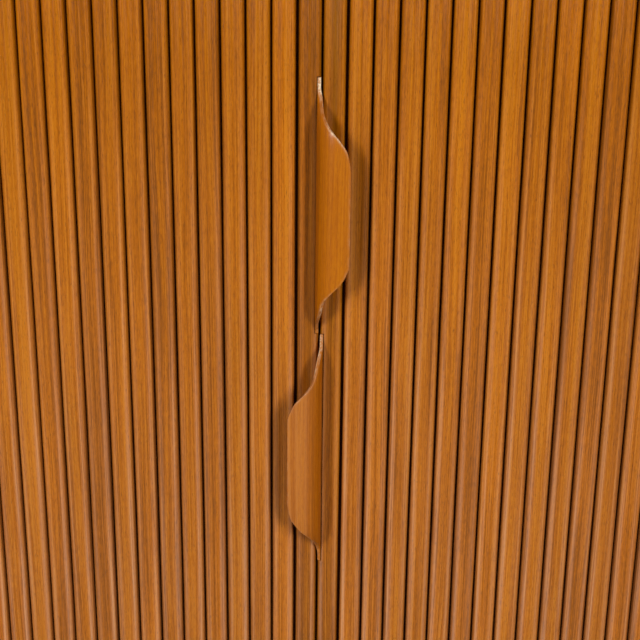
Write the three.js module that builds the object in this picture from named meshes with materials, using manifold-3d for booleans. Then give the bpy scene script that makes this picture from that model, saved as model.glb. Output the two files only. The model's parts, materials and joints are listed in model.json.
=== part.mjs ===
// A free-standing teak cabinet with two straight tambour doors that slide apart behind reeded end panels.
// Each door is a row of slats on a canvas backing, drawn by a thin formed pull let into its lead slat.
// X runs across the front, Y from the front to the back, Z up. The origin is on the floor, under the middle
// of the case. All lengths are millimetres.

import * as THREE from "three";
import { mergeVertices } from "three/addons/utils/BufferGeometryUtils.js";
import Module from "manifold-3d";

const wasm = await Module();
wasm.setup();

// Tambour slats
const slatPitch = 16;
const slatsPerDoor = 16;
const slatThickness = 7;
const slatGap = 1.2;
const leadSlatGap = 1.7;
const slatArris = 2;
const slatHollow = 0.7;
const meetingGap = 1.2;
const tongueThickness = 4;
const tongueLength = 7;
const tongueInset = 0.8;
const shoulderGap = 0.8;

// Canvas behind the slats
const canvasThickness = 0.6;
const canvasEdgeInset = 2;
const canvasEndInset = 12;

// Pulls
const pullThickness = 2.1;
const pullLength = 168.5;
const pullRootDepth = 4.5;
const pullProud = 24;
const pullBendRadius = 13;
const pullLipReach = 22.4;
const pullOuterEnd = 56;
const pullInnerEnd = 53;
const pullTipRise = 0.5;
const pullTipGap = 1;

// Case
const caseDepth = 430;
const innerHeight = 876;
const panelThickness = 22;
const baseHeight = 180;

// End panels in front of the doors, and liners behind them
const endPanelReeds = 15;
const endPanelThickness = 12;
const endPanelInset = 11;
const endPanelKerf = 1.2;
const endPanelKerfDepth = 3;
const doorOverlap = 14;
const doorStopGap = 2;
const linerThickness = 9;
const linerHousing = 4;
const frontRunningGap = 1.5;
const backRunningGap = 2;

// Back and shelves
const backThickness = 6;
const backInset = 2;
const backRebate = 10;
const shelfThickness = 18;
const shelfHousing = 6;
const shelfSetback = 1;
const shelfEndGap = 0.8;
const fixedShelfHeight = 340;
const pinRadius = 2.5;
const pinLength = 18;
const pinSocket = 10;
const pinChamfer = 0.6;
const pinHoleGap = 0.15;
const pinHolePitch = 32;
const pinHoleRows = 5;
const pinRowAboveShelf = 200;
const pinColumnInset = 50;

// Base
const legHeadSide = 44;
const legHeadHeight = 60;
const legFootRadius = 11;
const legFootChamfer = 2;
const legTopRadius = 19;
const legNeckRadius = 15.5;
const legInsetSide = 34;
const legInsetFront = 26;
const railThickness = 20;
const railDrop = 10;
const tenonThickness = 9;
const tenonShoulder = 7;
const tenonClear = 2;

// Fits: a glued seat, a running fit, and how far a cutter runs past the face it cuts
const glueGap = 0.25;
const runningFit = 0.45;
const overrun = 1;

// The two ends of a pull's flat blank: shares of the end's length, and of the blank's full width. The outer
// end is the far one, and the inner end lies where the two pulls meet.
const pullOuterShares = [
  [0, 0],
  [0.1, 0.28],
  [0.22, 0.42],
  [0.36, 0.49],
  [0.5, 0.63],
  [0.64, 0.815],
  [0.78, 0.94],
  [0.9, 0.98],
  [1, 1],
];
const pullInnerShares = [
  [0, 0],
  [0.1, 0.22],
  [0.22, 0.4],
  [0.36, 0.49],
  [0.5, 0.555],
  [0.64, 0.71],
  [0.78, 0.88],
  [0.9, 0.96],
  [1, 1],
];
// Places across a slat's hollow, as shares of the way from its middle to its ridges.
const hollowShares = [0.7, 0.35, 0, -0.35, -0.7];
// Places across the blank above the slat's face, as shares of its width there. They crowd into the bend.
const pullAcrossShares = [0.13, 0.27, 0.34, 0.41, 0.48, 0.55, 0.62, 0.69, 0.77, 0.88, 1];
// The leg's turned profile below its square head: shares of the turned length, up from the floor.
const legNeckShare = 0.86;
const legBeadShare = 0.93;
const legSwellShare = 0.5;

const curveSteps = 3;
const pullEndSteps = 16;
const legFaces = 24;
const pinFaces = 12;

// Sizes worked out from those above
const doorWidth = slatsPerDoor * slatPitch;
const doorVisible = doorWidth - doorOverlap;
const endPanelWidth = endPanelReeds * slatPitch;
const innerHalf = doorVisible + endPanelWidth;
const caseHalf = innerHalf + panelThickness;
const doorTravel = innerHalf - doorWidth - doorStopGap;
const grooveHalf = doorWidth + doorTravel + runningFit;

const caseBottom = baseHeight;
const innerBottom = caseBottom + panelThickness;
const innerTop = innerBottom + innerHeight;
const caseTop = innerTop + panelThickness;
const doorMiddle = innerBottom + innerHeight / 2;

const caseFront = -caseDepth / 2;
const caseBack = caseDepth / 2;
const endPanelFront = caseFront + endPanelInset;
const doorFace = endPanelFront + endPanelThickness + frontRunningGap;
const slatBack = doorFace + slatThickness;
const tongueMiddle = doorFace + slatThickness / 2;
const canvasFront = slatBack + glueGap;
const canvasBack = canvasFront + canvasThickness;
const linerFront = canvasBack + backRunningGap;
const linerBack = linerFront + linerThickness;
const backFront = caseBack - backInset - backThickness;
const shelfFront = linerBack + shelfSetback;
const shelfBack = backFront - glueGap;
const grooveDepth = tongueLength + runningFit;

const materials = {
  teak: new THREE.MeshStandardMaterial({ color: 0xb4702c, roughness: 0.42, metalness: 0 }),
  pullTeak: new THREE.MeshStandardMaterial({ color: 0xb8691c, roughness: 0.34, metalness: 0 }),
  caseTeak: new THREE.MeshStandardMaterial({ color: 0xa3632a, roughness: 0.45, metalness: 0 }),
  plywood: new THREE.MeshStandardMaterial({ color: 0xc09a68, roughness: 0.6, metalness: 0 }),
  canvas: new THREE.MeshStandardMaterial({ color: 0x9a8664, roughness: 0.9, metalness: 0 }),
  brass: new THREE.MeshStandardMaterial({ color: 0xb39045, roughness: 0.35, metalness: 1 }),
};

// A closed geometry as a solid that can be cut and joined.
function solidOf(geometry) {
  const bare = geometry.clone();
  bare.deleteAttribute("normal");
  bare.deleteAttribute("uv");
  const merged = mergeVertices(bare);
  const index = merged.index.array;
  const kept = [];
  for (let i = 0; i < index.length; i += 3) {
    const [a, b, c] = [index[i], index[i + 1], index[i + 2]];
    if (a !== b && b !== c && c !== a) kept.push(a, b, c);
  }
  return new wasm.Manifold(
    new wasm.Mesh({
      numProp: 3,
      vertProperties: merged.attributes.position.array,
      triVerts: new Uint32Array(kept),
    }),
  );
}

// A solid back as a geometry with flat faces.
function geometryOf(solid) {
  const mesh = solid.getMesh();
  const positions = new Float32Array(mesh.numVert * 3);
  for (let i = 0; i < mesh.numVert; i += 1) {
    const start = i * mesh.numProp;
    positions.set(mesh.vertProperties.subarray(start, start + 3), i * 3);
  }
  const geometry = new THREE.BufferGeometry();
  geometry.setAttribute("position", new THREE.BufferAttribute(positions, 3));
  geometry.setIndex(new THREE.BufferAttribute(new Uint32Array(mesh.triVerts), 1));
  const flat = geometry.toNonIndexed();
  flat.computeVertexNormals();
  return flat;
}

function cut(geometry, ...cutters) {
  let solid = solidOf(geometry);
  for (const cutter of cutters) solid = solid.subtract(solidOf(cutter));
  return geometryOf(solid);
}

function join(geometry, ...others) {
  let solid = solidOf(geometry);
  for (const other of others) solid = solid.add(solidOf(other));
  return geometryOf(solid);
}

// A box from its lowest to its highest corner, each [x, y, z].
function boxBetween(low, high) {
  const size = high.map((value, i) => value - low[i]);
  const middle = high.map((value, i) => (value + low[i]) / 2);
  return new THREE.BoxGeometry(...size).translate(...middle);
}

function mesh(name, geometry, material) {
  const made = new THREE.Mesh(geometry, material);
  made.name = name;
  return made;
}

// A shape drawn on the front, X across and Z up, carried through the depth of the case.
function throughDepth(points) {
  const shape = new THREE.Shape(points.map(([x, z]) => new THREE.Vector2(x, z)));
  const geometry = new THREE.ExtrudeGeometry(shape, { depth: caseDepth, bevelEnabled: false });
  return geometry.rotateX(Math.PI / 2).translate(0, caseBack, 0);
}

// Draws the front of a slat or a reed from its right side to its left: an arris, the shallow hollow and
// an arris. The back is on y = 0 and the front towards -y.
function drawFront(shape, right, left, thickness) {
  const middle = (right + left) / 2;
  const ridge = (right - left) / 2 - slatArris;
  const centre = slatArris - thickness;
  shape.absarc(middle + ridge, centre, slatArris, 0, -Math.PI / 2, true);
  for (const share of hollowShares) {
    shape.lineTo(middle + share * ridge, slatHollow * (1 - share ** 2) ** 2 - thickness);
  }
  shape.absarc(middle - ridge, centre, slatArris, -Math.PI / 2, -Math.PI, true);
}

// One slat's section: square back, rounded arrises and a hollow face between them.
function slatSection(width) {
  const half = width / 2;
  const shape = new THREE.Shape();
  shape.moveTo(-half, 0);
  shape.lineTo(half, 0);
  drawFront(shape, half, -half, slatThickness);
  shape.closePath();
  return shape;
}

// A slat between two places across the front, with a tongue at each end for the grooves.
function slatGeometry(left, right) {
  const width = right - left;
  const bodyBottom = innerBottom + shoulderGap;
  const bodyHeight = innerHeight - 2 * shoulderGap;
  const body = new THREE.ExtrudeGeometry(slatSection(width), {
    depth: bodyHeight,
    bevelEnabled: false,
    curveSegments: curveSteps,
  }).translate((left + right) / 2, slatBack, bodyBottom);
  const tongue = boxBetween(
    [left + tongueInset, tongueMiddle - tongueThickness / 2, innerBottom - tongueLength],
    [right - tongueInset, tongueMiddle + tongueThickness / 2, innerTop + tongueLength],
  );
  return join(body, tongue);
}

// The lead slat, with the rebate along its meeting edge that the pull's root is glued into.
// The upper pull is on the left door and the lower pull on the right one.
function leadSlatGeometry(side) {
  const outer = side * (slatPitch + slatGap / 2 - leadSlatGap);
  const meeting = (side * meetingGap) / 2;
  const whole = slatGeometry(Math.min(outer, meeting), Math.max(outer, meeting));
  const rebateEdge = side * (meetingGap / 2 + pullThickness + glueGap);
  const rebateOut = meeting - side * overrun;
  const nearEnd = doorMiddle - side * (pullTipGap / 2 - glueGap);
  const farEnd = doorMiddle - side * (pullTipGap / 2 + pullLength + glueGap);
  const rebate = boxBetween(
    [Math.min(rebateEdge, rebateOut), doorFace - overrun, Math.min(nearEnd, farEnd)],
    [Math.max(rebateEdge, rebateOut), doorFace + pullRootDepth + glueGap, Math.max(nearEnd, farEnd)],
  );
  return cut(whole, rebate);
}

// The flat blank's outline along the pull: its width above the slat's face at each station, outer end first.
function blankStations() {
  const width = pullBlankWidth();
  const endCurve = (shares, length) =>
    new THREE.SplineCurve(
      shares.map(([along, across]) => {
        const rise = pullTipRise + across * (width - pullTipRise);
        return new THREE.Vector2(along * length, rise);
      }),
    ).getPoints(pullEndSteps);
  const outerEnd = endCurve(pullOuterShares, pullOuterEnd);
  const innerEnd = endCurve(pullInnerShares, pullInnerEnd);
  return [
    ...outerEnd.map((p) => ({ along: p.x, width: p.y })),
    ...innerEnd.map((p) => ({ along: pullLength - p.x, width: p.y })).reverse(),
  ];
}

function pullBlankWidth() {
  const riser = pullProud - pullBendRadius;
  const bend = (pullBendRadius * Math.PI) / 2;
  return riser + bend + pullLipReach - pullBendRadius;
}

// Where a point of the blank lands once it is bent: up the riser, round the bend and along the lip.
// Across is measured on the outer face from the slat's face, and depth is how far under that face it lies.
function bentPoint(across, depth) {
  const riser = pullProud - pullBendRadius;
  const bend = (pullBendRadius * Math.PI) / 2;
  if (across <= riser) return { reach: depth, proud: across };
  if (across >= riser + bend) {
    return { reach: pullBendRadius + across - riser - bend, proud: pullProud - depth };
  }
  const angle = (across - riser) / pullBendRadius;
  const radius = pullBendRadius - depth;
  return {
    reach: pullBendRadius - radius * Math.cos(angle),
    proud: riser + radius * Math.sin(angle),
  };
}

// The left door's pull: a thin strip, cut to the blank's outline, bent, and closed round its four edges.
function pullGeometry() {
  const rootFace = -meetingGap / 2 - pullThickness;
  const topEnd = doorMiddle + pullTipGap / 2 + pullLength;
  const positions = [];
  const stations = blankStations();
  for (const { along, width } of stations) {
    const across = [-pullRootDepth, 0, ...pullAcrossShares.map((share) => share * width)];
    const outer = across.map((place) => bentPoint(place, 0));
    const inner = across.map((place) => bentPoint(place, pullThickness)).reverse();
    for (const { reach, proud } of [...outer, ...inner]) {
      positions.push(rootFace + reach, doorFace - proud, topEnd - along);
    }
  }
  const ring = positions.length / 3 / stations.length;
  const faces = [];
  for (let i = 0; i < stations.length - 1; i += 1) {
    for (let j = 0; j < ring; j += 1) {
      const next = (j + 1) % ring;
      const [a, b] = [i * ring + j, i * ring + next];
      faces.push(a, b + ring, b, a, a + ring, b + ring);
    }
  }
  const last = (stations.length - 1) * ring;
  for (let j = 0; j < ring / 2 - 1; j += 1) {
    const [a, b, c, d] = [j, j + 1, ring - 2 - j, ring - 1 - j];
    faces.push(a, b, c, a, c, d);
    faces.push(last + a, last + c, last + b, last + a, last + d, last + c);
  }
  const geometry = new THREE.BufferGeometry();
  geometry.setAttribute("position", new THREE.Float32BufferAttribute(positions, 3));
  geometry.setIndex(faces);
  const flat = geometry.toNonIndexed();
  flat.computeVertexNormals();
  return flat;
}

// The right door's pull is the left door's, turned half round about the point where the two meet.
function turnedPull() {
  const turned = pullGeometry().translate(0, 0, -doorMiddle);
  return turned.rotateY(Math.PI).translate(0, 0, doorMiddle);
}

function canvasGeometry(side) {
  const near = side * (meetingGap / 2 + canvasEdgeInset);
  const far = side * (doorWidth - canvasEdgeInset);
  return boxBetween(
    [Math.min(near, far), canvasFront, innerBottom + canvasEndInset],
    [Math.max(near, far), canvasBack, innerTop - canvasEndInset],
  );
}

// A door: its lead slat, the rest of its slats, the canvas and its pull. Side is -1 for the left door.
function door(side) {
  const sideName = side < 0 ? "left" : "right";
  const group = new THREE.Group();
  group.add(mesh(sideName + "_lead_slat", leadSlatGeometry(side), materials.teak));
  for (let i = 1; i < slatsPerDoor; i += 1) {
    const near = side * (i * slatPitch + slatGap / 2);
    const far = side * ((i + 1) * slatPitch - slatGap / 2);
    const number = String(i + 1).padStart(2, "0");
    const geometry = slatGeometry(Math.min(near, far), Math.max(near, far));
    group.add(mesh(sideName + "_slat_" + number, geometry, materials.teak));
  }
  group.add(mesh(sideName + "_canvas_backing", canvasGeometry(side), materials.canvas));
  const pull = side < 0 ? pullGeometry() : turnedPull();
  group.add(mesh(sideName + "_pull", pull, materials.pullTeak));
  return group;
}

// The recesses that the top and bottom panels share. Inner is the panel's inner face, and way points
// from that face into the panel: up for the top, down for the bottom.
function railRecesses(inner, way) {
  const recess = (lowX, highX, lowY, highY, depth) => {
    const [bottom, top] = [inner - way * overrun, inner + way * depth];
    return boxBetween(
      [lowX, lowY, Math.min(bottom, top)],
      [highX, highY, Math.max(bottom, top)],
    );
  };
  const halfGroove = tongueThickness / 2 + runningFit;
  const linerLow = linerFront - glueGap;
  const linerHigh = linerBack + glueGap;
  return [
    recess(-grooveHalf, grooveHalf, tongueMiddle - halfGroove, tongueMiddle + halfGroove, grooveDepth),
    recess(-innerHalf, -doorVisible + glueGap, linerLow, linerHigh, linerHousing),
    recess(doorVisible - glueGap, innerHalf, linerLow, linerHigh, linerHousing),
    recess(-innerHalf - backRebate, innerHalf + backRebate, backFront, caseBack + overrun, backRebate),
  ];
}

function topPanel() {
  const outline = [
    [-innerHalf + glueGap, innerTop],
    [innerHalf - glueGap, innerTop],
    [caseHalf - glueGap, caseTop],
    [-caseHalf + glueGap, caseTop],
  ];
  return cut(throughDepth(outline), ...railRecesses(innerTop, 1));
}

function bottomPanel() {
  const outline = [
    [-caseHalf + glueGap, caseBottom],
    [caseHalf - glueGap, caseBottom],
    [innerHalf - glueGap, innerBottom],
    [-innerHalf + glueGap, innerBottom],
  ];
  return cut(throughDepth(outline), ...railRecesses(innerBottom, -1));
}

// The heights of the pin holes, and the two places in the depth where their columns stand.
const fixedShelfBottom = innerBottom + fixedShelfHeight;
const fixedShelfTop = fixedShelfBottom + shelfThickness;
const pinHeights = Array.from(
  { length: pinHoleRows },
  (_, row) => fixedShelfTop + pinRowAboveShelf + row * pinHolePitch,
);
const pinRowInUse = Math.floor(pinHoleRows / 2);
const pinPlaces = [shelfFront + pinColumnInset, shelfBack - pinColumnInset];

// A side, mitred at both ends, with the housing for the fixed shelf, the rebate for the back and the holes
// for the shelf pins.
function sidePanel(side) {
  const outline = [
    [side * caseHalf, caseBottom],
    [side * caseHalf, caseTop],
    [side * innerHalf, innerTop],
    [side * innerHalf, innerBottom],
  ];
  const fromInside = (lowY, highY, lowZ, highZ, depth) => {
    const [near, far] = [side * (innerHalf - overrun), side * (innerHalf + depth)];
    return boxBetween([Math.min(near, far), lowY, lowZ], [Math.max(near, far), highY, highZ]);
  };
  const rebate = fromInside(
    backFront,
    caseBack + overrun,
    innerBottom - backRebate,
    innerTop + backRebate,
    backRebate,
  );
  const housing = fromInside(
    shelfFront - glueGap,
    backFront + overrun,
    fixedShelfBottom - glueGap,
    fixedShelfTop + glueGap,
    shelfHousing,
  );
  const holeLength = pinSocket + overrun;
  const holes = pinHeights.flatMap((height) =>
    pinPlaces.map((place) =>
      new THREE.CylinderGeometry(
        pinRadius + pinHoleGap,
        pinRadius + pinHoleGap,
        holeLength,
        pinFaces,
      )
        .rotateZ(Math.PI / 2)
        .translate(side * (innerHalf + pinSocket - holeLength / 2), place, height),
    ),
  );
  return cut(throughDepth(outline), rebate, housing, ...holes);
}

function backPanel() {
  const reach = innerHalf + backRebate - glueGap;
  return boxBetween(
    [-reach, backFront + glueGap, innerBottom - backRebate + glueGap],
    [reach, backFront + glueGap + backThickness, innerTop + backRebate - glueGap],
  );
}

// A fixed front panel, worked with the slats' own section at their pitch and a saw kerf between the reeds.
// It is drawn from above, with its back on y = 0 and its reeds towards -y.
function endPanel(side) {
  const half = endPanelWidth / 2 - glueGap;
  const kerfFloor = endPanelThickness - endPanelKerfDepth;
  const shape = new THREE.Shape();
  shape.moveTo(-half, 0);
  shape.lineTo(half, 0);
  for (let i = 0; i < endPanelReeds; i += 1) {
    const pitchRight = endPanelWidth / 2 - i * slatPitch;
    const right = Math.min(half, pitchRight - endPanelKerf / 2);
    const left = Math.max(-half, pitchRight - slatPitch + endPanelKerf / 2);
    if (i > 0) shape.lineTo(right, -kerfFloor);
    drawFront(shape, right, left, endPanelThickness);
    if (i < endPanelReeds - 1) shape.lineTo(left, -kerfFloor);
  }
  shape.closePath();
  return new THREE.ExtrudeGeometry(shape, {
    depth: innerHeight - 2 * glueGap,
    bevelEnabled: false,
    curveSegments: curveSteps,
  }).translate(
    side * (doorVisible + endPanelWidth / 2),
    endPanelFront + endPanelThickness,
    innerBottom + glueGap,
  );
}

// A liner behind the door's travel, housed in the top and the bottom.
function pocketLiner(side) {
  const [near, far] = [side * doorVisible, side * (innerHalf - glueGap)];
  const reach = linerHousing - glueGap;
  return boxBetween(
    [Math.min(near, far), linerFront, innerBottom - reach],
    [Math.max(near, far), linerBack, innerTop + reach],
  );
}

function fixedShelf() {
  const reach = innerHalf + shelfHousing - glueGap;
  return boxBetween(
    [-reach, shelfFront, fixedShelfBottom],
    [reach, shelfBack, fixedShelfTop],
  );
}

function adjustableShelf() {
  const reach = innerHalf - shelfEndGap;
  const bottom = pinHeights[pinRowInUse] + pinRadius + glueGap;
  return boxBetween([-reach, shelfFront, bottom], [reach, shelfBack, bottom + shelfThickness]);
}

// A plain turned pin with chamfered ends, lying across the cabinet with part of its length in the side.
function shelfPin(side, place) {
  const profile = [
    new THREE.Vector2(0, 0),
    new THREE.Vector2(pinRadius - pinChamfer, 0),
    new THREE.Vector2(pinRadius, pinChamfer),
    new THREE.Vector2(pinRadius, pinLength - pinChamfer),
    new THREE.Vector2(pinRadius - pinChamfer, pinLength),
    new THREE.Vector2(0, pinLength),
  ];
  const deepEnd = innerHalf + pinSocket - glueGap;
  return new THREE.LatheGeometry(profile, pinFaces)
    .rotateZ((side * Math.PI) / 2)
    .translate(side * deepEnd, place, pinHeights[pinRowInUse]);
}

// The middle of a leg, and the rail and tenon sizes that follow from its head.
const legX = caseHalf - legInsetSide - legHeadSide / 2;
const legY = caseDepth / 2 - legInsetFront - legHeadSide / 2;
const headTop = caseBottom - glueGap;
const headBottom = headTop - legHeadHeight;
const railBottom = headBottom + railDrop;
const tenonLength = legHeadSide / 2 - tenonThickness / 2 - tenonClear;
const tenonBottom = railBottom + tenonShoulder;
const tenonTop = headTop - tenonShoulder;

// A turned leg: a swelling taper, a neck, a bead under the square head, and a mortise for each rail.
function leg(sideX, sideY) {
  const swellRadius = (legFootRadius + legNeckRadius) / 2 + legFootChamfer / 2;
  const profile = [
    new THREE.Vector2(0, 0),
    new THREE.Vector2(legFootRadius - legFootChamfer, 0),
    new THREE.Vector2(legFootRadius, legFootChamfer),
    new THREE.Vector2(swellRadius, headBottom * legSwellShare),
    new THREE.Vector2(legNeckRadius, headBottom * legNeckShare),
    new THREE.Vector2(legNeckRadius, headBottom * legBeadShare),
    new THREE.Vector2(legTopRadius, headBottom),
    new THREE.Vector2(legTopRadius, headBottom + overrun),
    new THREE.Vector2(0, headBottom + overrun),
  ];
  const turned = new THREE.LatheGeometry(profile, legFaces)
    .rotateX(Math.PI / 2)
    .translate(sideX * legX, sideY * legY, 0);
  const [halfHead, halfSlot] = [legHeadSide / 2, tenonThickness / 2 + glueGap];
  const head = boxBetween(
    [sideX * legX - halfHead, sideY * legY - halfHead, headBottom],
    [sideX * legX + halfHead, sideY * legY + halfHead, headTop],
  );
  const reach = tenonLength + glueGap;
  const slotNearX = sideX * (legX - halfHead - overrun);
  const slotFarX = sideX * (legX - halfHead + reach);
  const slotNearY = sideY * (legY - halfHead - overrun);
  const slotFarY = sideY * (legY - halfHead + reach);
  const slotForSideways = boxBetween(
    [Math.min(slotNearX, slotFarX), sideY * legY - halfSlot, tenonBottom - glueGap],
    [Math.max(slotNearX, slotFarX), sideY * legY + halfSlot, tenonTop + glueGap],
  );
  const slotForDepth = boxBetween(
    [sideX * legX - halfSlot, Math.min(slotNearY, slotFarY), tenonBottom - glueGap],
    [sideX * legX + halfSlot, Math.max(slotNearY, slotFarY), tenonTop + glueGap],
  );
  return cut(join(head, turned), slotForSideways, slotForDepth);
}

// A rail between two leg heads, with a tenon at each end. It is drawn along X about the origin.
function railAlong(halfSpan) {
  const body = boxBetween(
    [-halfSpan, -railThickness / 2, railBottom],
    [halfSpan, railThickness / 2, headTop],
  );
  const tenons = boxBetween(
    [-halfSpan - tenonLength, -tenonThickness / 2, tenonBottom],
    [halfSpan + tenonLength, tenonThickness / 2, tenonTop],
  );
  return join(body, tenons);
}

function buildCase() {
  const group = new THREE.Group();
  group.add(mesh("top_panel", topPanel(), materials.caseTeak));
  group.add(mesh("bottom_panel", bottomPanel(), materials.caseTeak));
  group.add(mesh("back_panel", backPanel(), materials.plywood));
  group.add(mesh("fixed_shelf", fixedShelf(), materials.caseTeak));
  group.add(mesh("adjustable_shelf", adjustableShelf(), materials.caseTeak));
  for (const [side, sideName] of [[-1, "left"], [1, "right"]]) {
    group.add(mesh(sideName + "_side_panel", sidePanel(side), materials.caseTeak));
    group.add(mesh(sideName + "_end_panel", endPanel(side), materials.teak));
    group.add(mesh(sideName + "_pocket_liner", pocketLiner(side), materials.plywood));
    pinPlaces.forEach((place, i) => {
      const name = sideName + (i === 0 ? "_front" : "_rear") + "_shelf_pin";
      group.add(mesh(name, shelfPin(side, place), materials.brass));
    });
  }
  return group;
}

function buildBase() {
  const group = new THREE.Group();
  for (const [sideX, nameX] of [[-1, "left"], [1, "right"]]) {
    for (const [sideY, nameY] of [[-1, "front"], [1, "rear"]]) {
      group.add(mesh(nameX + "_" + nameY + "_leg", leg(sideX, sideY), materials.caseTeak));
    }
  }
  const halfAcross = legX - legHeadSide / 2 - glueGap;
  const halfDeep = legY - legHeadSide / 2 - glueGap;
  for (const [sideY, name] of [[-1, "front_rail"], [1, "rear_rail"]]) {
    const rail = mesh(name, railAlong(halfAcross), materials.caseTeak);
    rail.position.y = sideY * legY;
    group.add(rail);
  }
  for (const [sideX, name] of [[-1, "left_rail"], [1, "right_rail"]]) {
    const rail = mesh(name, railAlong(halfDeep), materials.caseTeak);
    rail.rotation.z = Math.PI / 2;
    rail.position.x = sideX * legX;
    group.add(rail);
  }
  return group;
}

const cabinet = new THREE.Group();
cabinet.add(buildCase(), buildBase(), door(-1), door(1));

export default cabinet;
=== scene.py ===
"""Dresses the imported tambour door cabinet: fine wooden pieces over its frame, their finishes, and a stage."""

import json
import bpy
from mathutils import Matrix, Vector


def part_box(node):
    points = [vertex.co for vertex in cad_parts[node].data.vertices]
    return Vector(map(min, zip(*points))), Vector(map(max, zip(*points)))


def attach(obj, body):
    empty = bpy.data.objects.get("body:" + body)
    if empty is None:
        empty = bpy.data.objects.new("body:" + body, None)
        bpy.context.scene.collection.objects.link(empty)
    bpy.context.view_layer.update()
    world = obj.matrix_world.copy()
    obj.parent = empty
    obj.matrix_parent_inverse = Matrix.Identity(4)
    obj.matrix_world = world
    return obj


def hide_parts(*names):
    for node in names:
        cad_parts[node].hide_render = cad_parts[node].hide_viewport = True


bl_info = {
    "name": "Tambour door cabinet",
    "version": (1, 0, 0),
    "blender": (4, 5, 0),
    "location": "View3D > Sidebar > Cabinet",
    "description": "Makes a teak cabinet's slats, pulls, case and base, with their finishes and a stage",
    "category": "Object",
}

import bpy
import numpy as np
from bpy.props import FloatProperty, FloatVectorProperty, PointerProperty
from mathutils import Matrix, Vector

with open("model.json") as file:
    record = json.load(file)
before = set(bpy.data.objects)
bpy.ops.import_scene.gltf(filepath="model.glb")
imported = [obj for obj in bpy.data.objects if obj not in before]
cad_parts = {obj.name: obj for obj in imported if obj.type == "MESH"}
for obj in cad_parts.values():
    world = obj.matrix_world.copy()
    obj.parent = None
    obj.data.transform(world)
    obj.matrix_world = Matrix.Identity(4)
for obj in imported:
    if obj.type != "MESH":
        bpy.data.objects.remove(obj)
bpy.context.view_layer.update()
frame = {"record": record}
MM = 0.001
BODIES = frame["record"]["behaviour"]["bodies"]
SIDES = {"left": -1, "right": 1}
# The seed of each group's random draws.
SEEDS = {"slats": 58, "pulls": 7, "end panels": 31, "case": 12, "inside": 93, "base": 44}
# How many rings run along each kind of piece, how many sides its round parts have, and how many points make
# a slat's rounded edge, its hollow, a canvas's width and any other eased edge.
SLAT_RINGS, CANVAS_RINGS, PANEL_RINGS, TAPER_RINGS, BEAD_RINGS = 44, 60, 24, 26, 12
PIN_SIDES, HOLE_SIDES, LEG_SIDES = 40, 24, 72
ARRIS_POINTS, HOLLOW_POINTS, CANVAS_POINTS, EASE_POINTS = 9, 25, 120, 5


def span(node):
    """A node's lowest and highest corners at rest, as two arrays."""
    low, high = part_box(node)
    return np.array(low), np.array(high)


# Places that the frame gives: the doors' face, the case's inside and the level where the two pulls meet.
DOOR_FACE = span("left_slat_02")[0][1]
SLAT_BACK = span("left_slat_02")[1][1]
CASE_LOW = np.minimum(span("left_side_panel")[0], span("bottom_panel")[0])
CASE_HIGH = np.maximum(span("right_side_panel")[1], span("top_panel")[1])
INNER_BOTTOM = span("bottom_panel")[1][2]
INNER_TOP = span("top_panel")[0][2]
INNER_HALF = span("right_side_panel")[0][0]
PULL_LEVEL = (span("left_pull")[0][2] + span("right_pull")[1][2]) / 2
BACK_FRONT = span("back_panel")[0][1]
BACK_REBATE = INNER_BOTTOM - span("back_panel")[0][2]


def linear(hex_colour):
    """An sRGB hex colour as linear red, green and blue, with full alpha."""
    channels = [int(hex_colour[i : i + 2], 16) / 255 for i in (1, 3, 5)]
    return [c / 12.92 if c <= 0.04045 else ((c + 0.055) / 1.055) ** 2.4 for c in channels] + [1.0]


def length(name, description, millimetres):
    """A length that a user may change, given in millimetres."""
    return FloatProperty(
        name=name, description=description, default=millimetres * MM, min=0.0, unit="LENGTH", precision=5
    )


def colour(name, description, hex_colour):
    """A colour that a user may change, given as sRGB hex."""
    return FloatVectorProperty(
        name=name, description=description, default=linear(hex_colour), min=0, max=1, size=4, subtype="COLOR"
    )


def number(name, description, default, unit="NONE"):
    """A number that a user may change, with its unit."""
    return FloatProperty(name=name, description=description, default=default, unit=unit)


def angle(name, description, degrees):
    """An angle that a user may change, given in degrees."""
    return number(name, description, np.radians(degrees), "ROTATION")


class TambourSizes(bpy.types.PropertyGroup):
    """Sizes of the slats and the reeded end panels."""

    arris: length("Arris", "Radius of a slat's rounded front edges", 2.6)
    hollow: length("Hollow", "Depth of the shallow hollow along a slat's face", 0.9)
    back_edge: length("Back edge", "Radius of a slat's back edges", 0.3)
    tongue: length("Tongue", "Thickness of the tongue at a slat's end", 4.0)
    tongue_inset: length("Tongue inset", "How far the tongue stands in from the slat's sides", 0.8)
    shoulder_gap: length("Shoulder gap", "Gap between a slat's shoulder and the case", 0.8)
    seat_gap: length("Seat gap", "Gap round a pull's root in its lead slat", 0.5)
    waver: length("Waver", "How far a slat's edge strays from straight", 0.06)
    waver_length: length("Waver length", "Distance over which an edge strays", 420.0)
    kerf: length("Kerf", "Width of the saw cut between two reeds", 1.2)
    kerf_depth: length("Kerf depth", "Depth of the saw cut between two reeds", 3.0)
    pitch: length("Pitch", "Distance from one slat or reed to the next", 16.0)


class PullSizes(bpy.types.PropertyGroup):
    """Sizes of the two formed pulls."""

    thickness: length("Thickness", "Thickness of the formed strip", 2.1)
    bend: length("Bend", "Outer radius of the bend between riser and lip", 13.0)
    edge: length("Edge", "Radius of the eased edges", 0.5)
    outer_end: length("Outer end", "Length over which the far end narrows", 56.0)
    inner_end: length("Inner end", "Length over which the end by the other pull narrows", 53.0)
    tip_rise: length("Tip rise", "How far the tips stand out of the slat", 0.5)
    # The worn band along the edges also carries painted highlight.
    wear_and_highlight_width: length("Wear width", "Width of the worn band along the edges", 0.8)


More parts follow.
